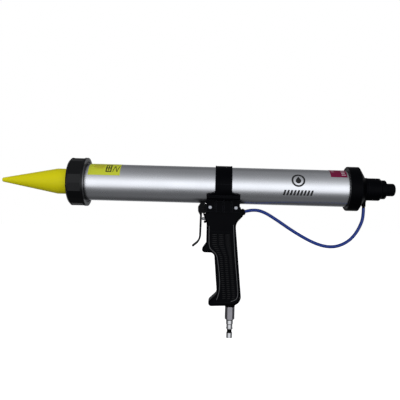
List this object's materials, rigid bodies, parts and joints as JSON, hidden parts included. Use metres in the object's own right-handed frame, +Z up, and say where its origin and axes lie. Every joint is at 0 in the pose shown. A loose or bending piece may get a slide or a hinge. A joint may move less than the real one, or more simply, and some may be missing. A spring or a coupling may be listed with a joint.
{
  "type": "pneumatic caulking gun",
  "caption": "Air-powered caulking gun: long aluminium barrel, cone nozzle in a ring nut, piston inside, clamped pistol handle with trigger, air hose and quick-coupler plug.",
  "frame": {"origin": "centre of the nozzle's outlet, on the barrel's axis", "axes": "+X along the barrel from the outlet to the rear cap, +Z up away from the handle, +Y to the gun's right"},
  "size_m": [0.5824, 0.0715, 0.2615],
  "materials": {
    "nozzle_yellow": "satin moulded polyethylene",
    "black_plastic": "satin moulded, lightly textured",
    "black_metal": "black coated",
    "barrel_aluminium": "satin anodised",
    "label_yellow": "printed sticker",
    "label_crimson": "printed sticker",
    "rubber": "matte",
    "nylon": "natural",
    "brass": "turned",
    "steel": "bright zinc plated",
    "zinc": "dull zinc",
    "chrome": "polished",
    "hose_blue": "polyurethane"
  },
  "bodies": {
    "gun": {"front_collar": "black_metal", "barrel_tube": "barrel_aluminium", "front_label": "label_yellow", "rear_label": "label_crimson", "rear_collar": "black_metal", "cap_seal": "rubber", "rear_cap": "black_plastic", "regulator_body": "black_plastic", "regulator_spring": "steel", "regulator_bonnet": "black_plastic", "clamp_band": "black_plastic", "saddle_left": "black_plastic", "saddle_right": "black_plastic", "clamp_screws": "steel", "clamp_nuts": "steel", "handle_left": "black_plastic", "handle_right": "black_plastic", "handle_screws": "steel", "trigger_pin": "black_metal", "valve_body": "brass", "stem_seal": "rubber", "valve_spring": "steel", "valve_plug": "brass", "inlet_tube": "nylon", "inlet_bush": "black_plastic", "inlet_adapter": "zinc", "air_plug": "chrome", "front_hose_fitting": "black_plastic", "rear_hose_fitting": "black_plastic", "air_hose": "hose_blue"},
    "nozzle": {"nozzle": "nozzle_yellow", "nozzle_seal": "rubber"},
    "retaining_nut": {"retaining_nut": "black_plastic"},
    "piston": {"piston": "nylon", "piston_seals": "rubber"},
    "trigger": {"trigger": "black_metal"},
    "valve_stem": {"valve_stem": "steel"},
    "regulator_poppet": {"regulator_poppet": "brass"},
    "regulator_screw": {"regulator_screw": "brass"},
    "regulator_knob": {"regulator_knob": "black_plastic"}
  },
  "joints": [
    {"name": "nozzle_slide", "type": "slide", "parent": "gun", "child": "nozzle", "axis": [-1, 0, 0], "range_m": [0, 0.015]},
    {"name": "nut_turn", "type": "hinge", "parent": "nozzle", "child": "retaining_nut", "pos_m": [0.1145, 0, 0], "axis": [-1, 0, 0], "range_deg": [0, 1805]},
    {"name": "piston_slide", "type": "slide", "parent": "gun", "child": "piston", "axis": [-1, 0, 0], "range_m": [0, 0.36]},
    {"name": "trigger_pull", "type": "hinge", "parent": "gun", "child": "trigger", "pos_m": [0.3003, 0, -0.0346], "axis": [0, -1, 0], "range_deg": [0, 8], "stiffness_Nm_per_rad": 0.55, "springref_deg": -9.45},
    {"name": "stem_slide", "type": "slide", "parent": "gun", "child": "valve_stem", "axis": [1, 0, 0], "range_m": [0, 0.00215], "deforming": ["valve_spring"]},
    {"name": "poppet_lift", "type": "slide", "parent": "gun", "child": "regulator_poppet", "axis": [1, 0, 0], "range_m": [0, 0.001], "stiffness_N_per_m": 800, "springref_m": -0.003, "deforming": ["regulator_spring"]},
    {"name": "regulator_slide", "type": "slide", "parent": "gun", "child": "regulator_screw", "axis": [1, 0, 0], "range_m": [0, 0.00225], "deforming": ["regulator_spring"]},
    {"name": "knob_turn", "type": "hinge", "parent": "regulator_screw", "child": "regulator_knob", "pos_m": [0.575, 0, 0], "axis": [1, 0, 0], "range_deg": [0, 1085]}
  ],
  "couplings": [
    {"joint": "nut_turn", "follows": "nozzle_slide", "rad_per_m": 2094.4},
    {"joint": "stem_slide", "follows": "trigger_pull", "m_per_rad": 0.0153},
    {"joint": "knob_turn", "follows": "regulator_slide", "rad_per_m": 8377.6}
  ]
}
